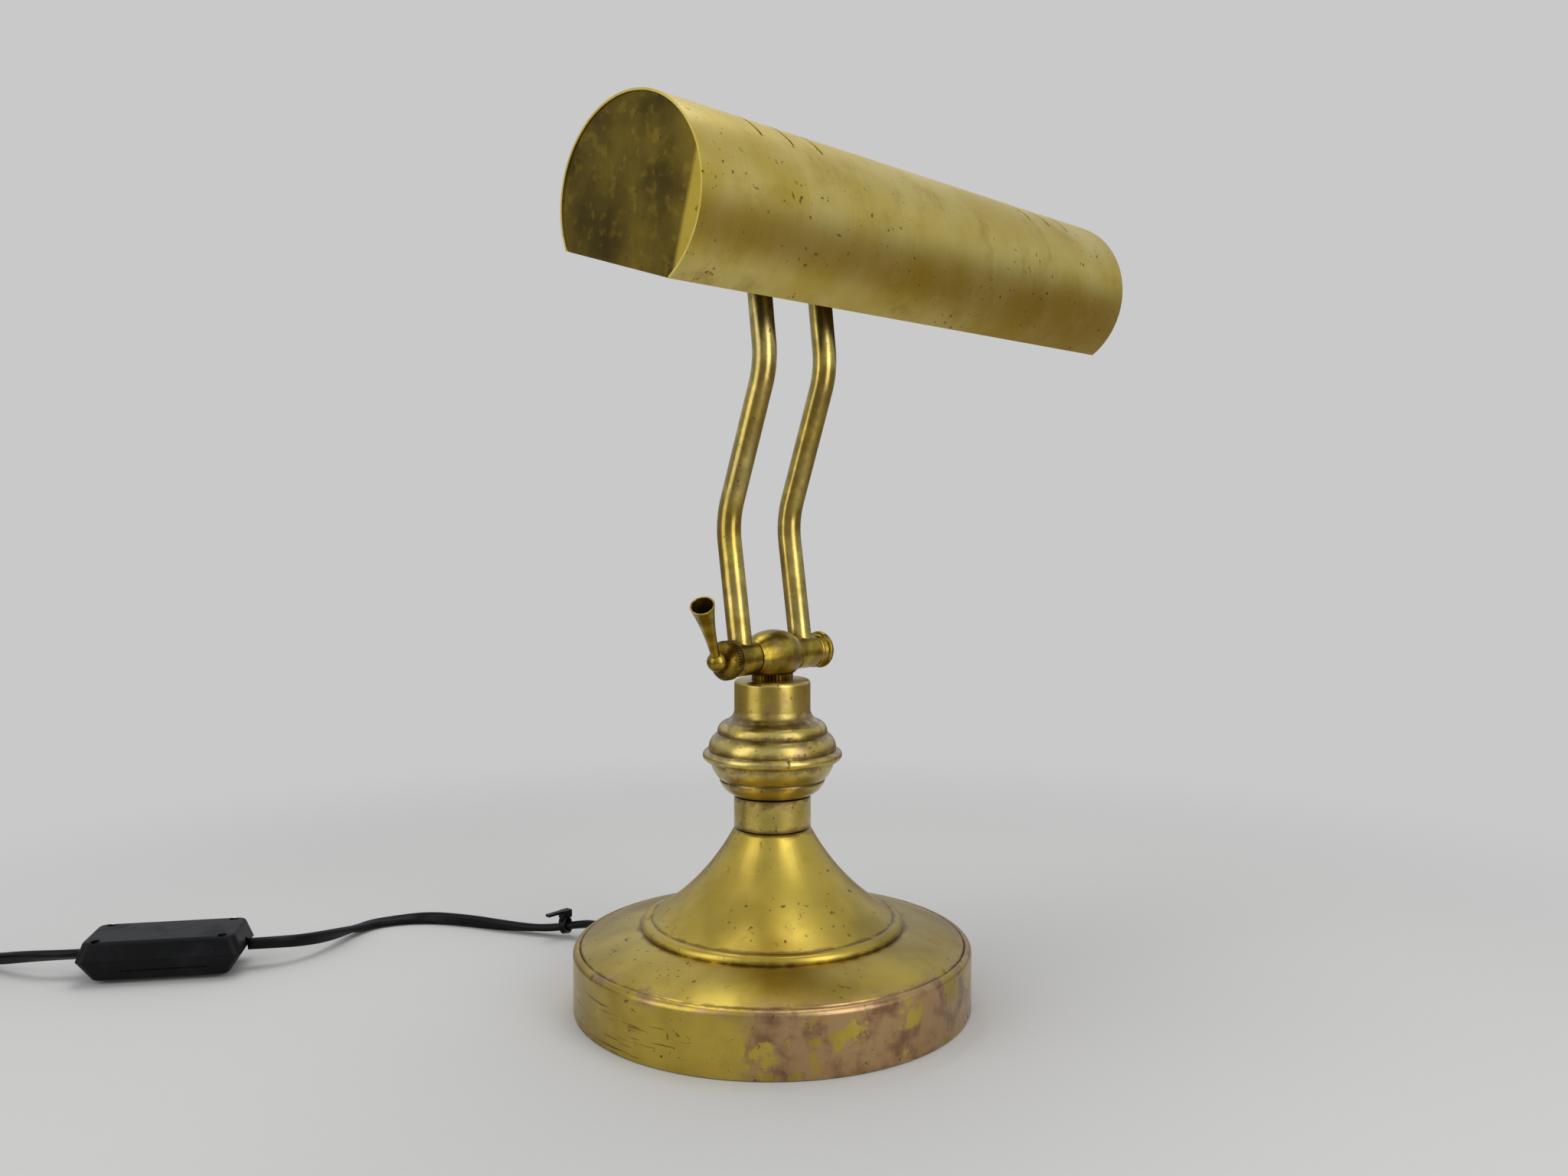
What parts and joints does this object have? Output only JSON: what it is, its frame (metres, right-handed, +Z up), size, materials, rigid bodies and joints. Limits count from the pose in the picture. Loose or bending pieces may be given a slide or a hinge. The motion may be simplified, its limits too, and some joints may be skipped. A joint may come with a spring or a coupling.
{
  "type": "piano lamp",
  "caption": "Brass piano lamp: weighted round base, turned column, two bent arms on a clamped pivot, long half-round shade, flex with inline switch and plug.",
  "frame": {"origin": "centre of the base's underside, on the surface that the lamp stands on", "axes": "+Z up along the column, +X along the pivot barrel and the shade, +Y towards the back, where the cord leaves the base"},
  "size_m": [0.5339, 0.4202, 0.3387],
  "materials": {
    "aged_brass_base": "spun brass, aged, with brown flecks and copper-pink patches",
    "polished_brass": "polished brass gone dull and olive",
    "dark_brass": "turned brass with a brown film of age",
    "brushed_brass_shade": "brass sheet brushed round the shade",
    "brown_brass_cap": "brass end plate with a dark brown-olive patina",
    "zinc_steel": "zinc-plated steel",
    "cast_iron": "raw cast iron",
    "felt": "dark green felt",
    "holder_plastic": "black moulded lampholder",
    "bulb_cap_alloy": "bright cap of the bulb",
    "bulb_glass": "clear tubular glass",
    "flex_pvc": "black flat twin flex, satin",
    "nylon_tie": "black nylon",
    "switch_plastic": "black moulded plastic, satin",
    "plug_plastic": "black moulded plastic, satin",
    "nickel_pins": "nickel-plated pins"
  },
  "bodies": {
    "base": {"base_shell": "aged_brass_base", "base_weight": "cast_iron", "base_cover": "zinc_steel", "felt_pad": "felt", "weight_spider": "zinc_steel", "rod_nut": "zinc_steel", "cover_nut": "zinc_steel", "threaded_rod": "zinc_steel", "collar_seat": "dark_brass", "column_collar": "polished_brass", "bulb_lower_cup": "polished_brass", "bulb_upper_dome": "polished_brass", "locknut": "polished_brass", "column_flex": "flex_pvc", "strain_relief": "flex_pvc", "cord_grommet": "flex_pvc", "cable_tie": "nylon_tie", "cord_to_switch": "flex_pvc", "cord_to_coil": "flex_pvc", "cord_coil": "flex_pvc", "cord_tail": "flex_pvc", "switch_back": "switch_plastic", "switch_front": "switch_plastic", "switch_screws": "zinc_steel", "rocker_pin": "zinc_steel", "plug_body": "plug_plastic", "plug_pins": "nickel_pins"},
    "head": {"pivot_barrel": "dark_brass", "friction_washers": "dark_brass"},
    "arms": {"left_knuckle": "dark_brass", "right_knuckle": "dark_brass", "left_arm_tube": "polished_brass", "right_arm_tube": "polished_brass", "pivot_washer": "dark_brass", "end_cap": "dark_brass", "arm_bridge": "zinc_steel", "arm_nipples": "zinc_steel", "arm_top_nuts": "zinc_steel", "tilt_bolt": "zinc_steel", "tilt_nut": "zinc_steel", "arm_flex": "flex_pvc"},
    "shade": {"shade_body": "brushed_brass_shade", "shade_left_cap": "brown_brass_cap", "shade_right_cap": "brown_brass_cap", "shade_saddle": "zinc_steel", "lampholder": "holder_plastic", "socket_sleeve": "polished_brass", "bulb_cap": "bulb_cap_alloy", "bulb_glass": "bulb_glass"},
    "clamp": {"clamp_screw": "zinc_steel", "knurled_head": "dark_brass", "clamp_lever": "dark_brass"},
    "rocker": {"switch_rocker": "switch_plastic"}
  },
  "joints": [
    {"name": "head_swivel", "type": "hinge", "parent": "base", "child": "head", "pos_m": [0, 0, 0.1335], "axis": [0, 0, 1], "range_deg": [-90, 90]},
    {"name": "arm_tilt", "type": "hinge", "parent": "head", "child": "arms", "pos_m": [0, 0, 0.1404], "axis": [1, 0, 0], "range_deg": [-55, 55]},
    {"name": "shade_tilt", "type": "hinge", "parent": "arms", "child": "shade", "pos_m": [0, -0.00898, 0.2961], "axis": [1, 0, 0], "range_deg": [-40, 25]},
    {"name": "clamp_turn", "type": "hinge", "parent": "arms", "child": "clamp", "pos_m": [-0.026, 0, 0.1404], "axis": [1, 0, 0], "range_deg": [-60, 60]},
    {"name": "switch_rock", "type": "hinge", "parent": "base", "child": "rocker", "pos_m": [-0.1486, 0.2161, 0.0053], "axis": [0.6184, 0.7859, 0], "range_deg": [0, 12]}
  ]
}
